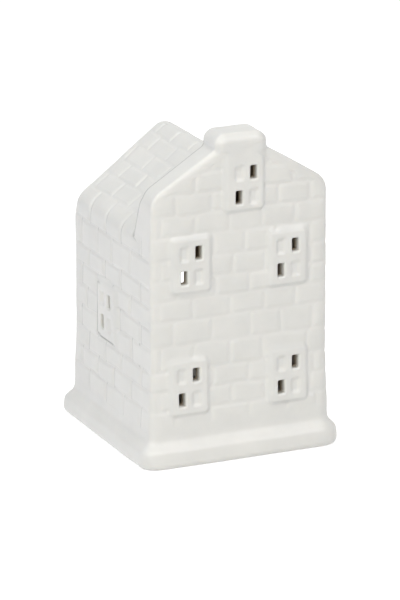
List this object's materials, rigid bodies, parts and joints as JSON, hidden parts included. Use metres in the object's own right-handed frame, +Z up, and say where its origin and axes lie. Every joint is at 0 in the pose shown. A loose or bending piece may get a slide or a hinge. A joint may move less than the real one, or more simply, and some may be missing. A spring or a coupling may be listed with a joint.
{
  "type": "house candle holder",
  "caption": "Porcelain tealight holder shaped as a brick gabled house with pierced window panes, an arched rear doorway and a removable tealight inside.",
  "frame": {"origin": "middle of the plinth's footprint, on the plane that the house rests on", "axes": "+Z up, the facade with five windows looks along -Y and the doorway along +Y, +X to the right as seen from the front"},
  "size_m": [0.0936, 0.0956, 0.1435],
  "materials": {
    "glazed_porcelain": "clear gloss glaze over white porcelain",
    "cup_aluminium": "bright pressed foil",
    "paraffin_wax": "smooth white paraffin, slightly translucent",
    "holder_tinplate": "bright tinplate",
    "wick_cotton": "braided waxed cotton"
  },
  "bodies": {
    "house": {"plinth": "glazed_porcelain", "floor_slab": "glazed_porcelain", "front_gable": "glazed_porcelain", "gable_block": "glazed_porcelain", "rear_wall": "glazed_porcelain", "left_wall": "glazed_porcelain", "left_roof": "glazed_porcelain", "right_wall": "glazed_porcelain", "right_roof": "glazed_porcelain", "upper_left_window": "glazed_porcelain", "upper_right_window": "glazed_porcelain", "lower_left_window": "glazed_porcelain", "lower_right_window": "glazed_porcelain", "gable_window": "glazed_porcelain", "left_side_window": "glazed_porcelain", "right_side_window": "glazed_porcelain"},
    "tealight": {"tealight_cup": "cup_aluminium", "tealight_wax": "paraffin_wax", "wick_holder": "holder_tinplate", "wick": "wick_cotton"}
  },
  "joints": [
    {"name": "tealight_slide", "type": "slide", "parent": "house", "child": "tealight", "axis": [0, 1, 0], "range_m": [0, 0.07]}
  ]
}
